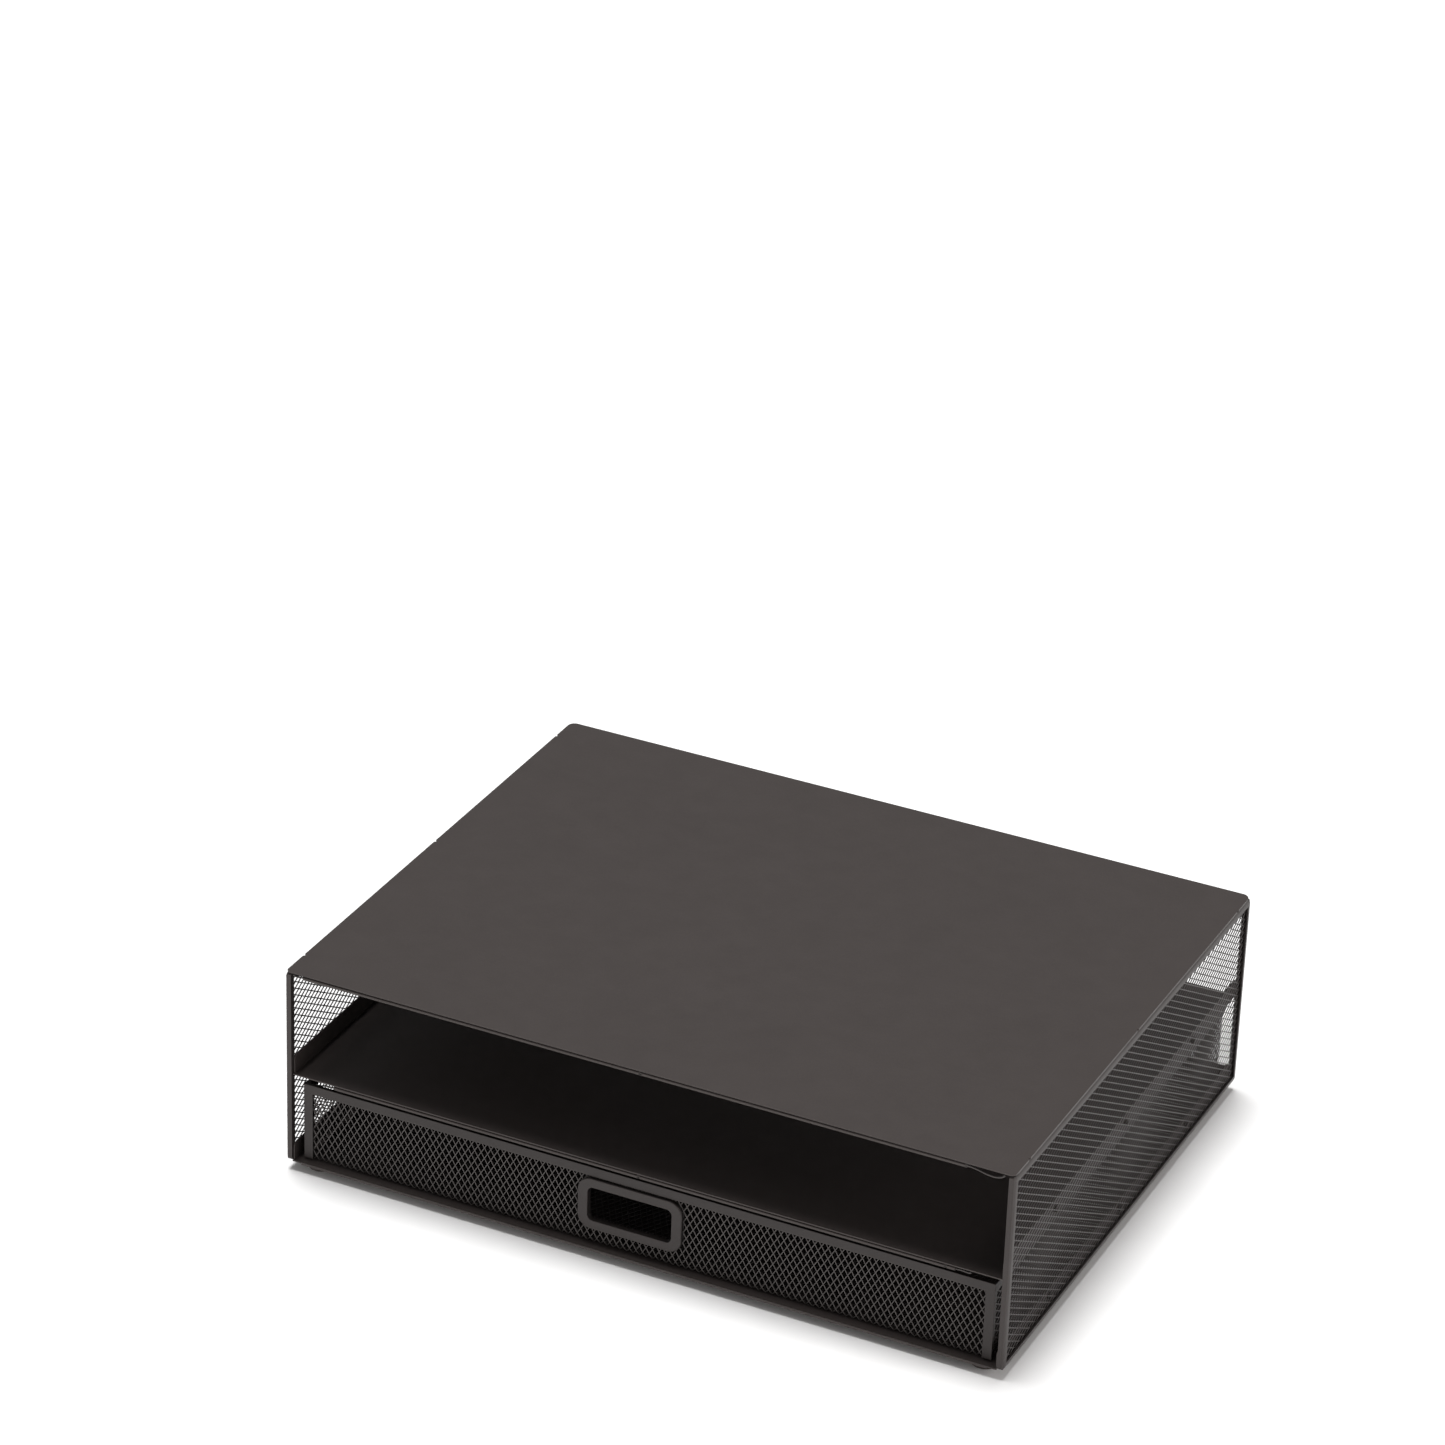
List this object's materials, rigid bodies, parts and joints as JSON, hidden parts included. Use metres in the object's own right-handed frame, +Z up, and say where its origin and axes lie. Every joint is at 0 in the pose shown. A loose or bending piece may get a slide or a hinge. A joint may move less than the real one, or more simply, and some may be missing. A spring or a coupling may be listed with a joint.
{
  "type": "monitor riser stand with drawer",
  "caption": "Low steel and expanded-mesh monitor stand: solid top over an open shelf and a sliding mesh drawer with a framed finger opening.",
  "frame": {"origin": "centre of the footprint, on the table under the feet", "axes": "+X to the right, -Y to the front where the drawer opens, +Z up"},
  "size_m": [0.386, 0.3, 0.113],
  "materials": {
    "sheet_steel": "satin dark brown-grey powder coat",
    "edge_wire": "satin dark powder coat",
    "folded_strip": "satin dark powder coat",
    "side_mesh": "satin dark powder coat on flattened expanded metal",
    "drawer_mesh": "satin dark powder coat on expanded metal",
    "drawer_strip": "satin dark powder coat",
    "handle": "satin dark powder coat",
    "foot_pad": "matte dark brown rubber"
  },
  "bodies": {
    "cabinet": {"top_panel": "sheet_steel", "top_edge_wires": "edge_wire", "shelf_panel": "sheet_steel", "shelf_edge_wires": "edge_wire", "floor_panel": "sheet_steel", "shelf_spot_welds": "folded_strip", "floor_spot_welds": "folded_strip", "shelf_stop_tabs": "folded_strip", "left_front_post": "folded_strip", "left_rear_post": "folded_strip", "left_top_rail": "folded_strip", "left_bottom_rail": "folded_strip", "left_side_mesh": "side_mesh", "right_front_post": "folded_strip", "right_rear_post": "folded_strip", "right_top_rail": "folded_strip", "right_bottom_rail": "folded_strip", "right_side_mesh": "side_mesh", "foot_front_left": "foot_pad", "foot_front_right": "foot_pad", "foot_rear_left": "foot_pad", "foot_rear_right": "foot_pad"},
    "drawer": {"drawer_front_mesh": "drawer_mesh", "drawer_front_top_strip": "drawer_strip", "drawer_front_left_strip": "drawer_strip", "drawer_front_right_strip": "drawer_strip", "drawer_floor_mesh": "drawer_mesh", "drawer_left_mesh": "drawer_mesh", "drawer_right_mesh": "drawer_mesh", "drawer_rear_mesh": "drawer_mesh", "drawer_left_rim": "drawer_strip", "drawer_right_rim": "drawer_strip", "drawer_rear_rim": "drawer_strip", "drawer_stop_tabs": "drawer_strip", "handle_bezel": "handle", "handle_back_ring": "handle"}
  },
  "joints": [
    {"name": "drawer_slide", "type": "slide", "parent": "cabinet", "child": "drawer", "axis": [0, -1, 0], "range_m": [0, 0.195]}
  ]
}
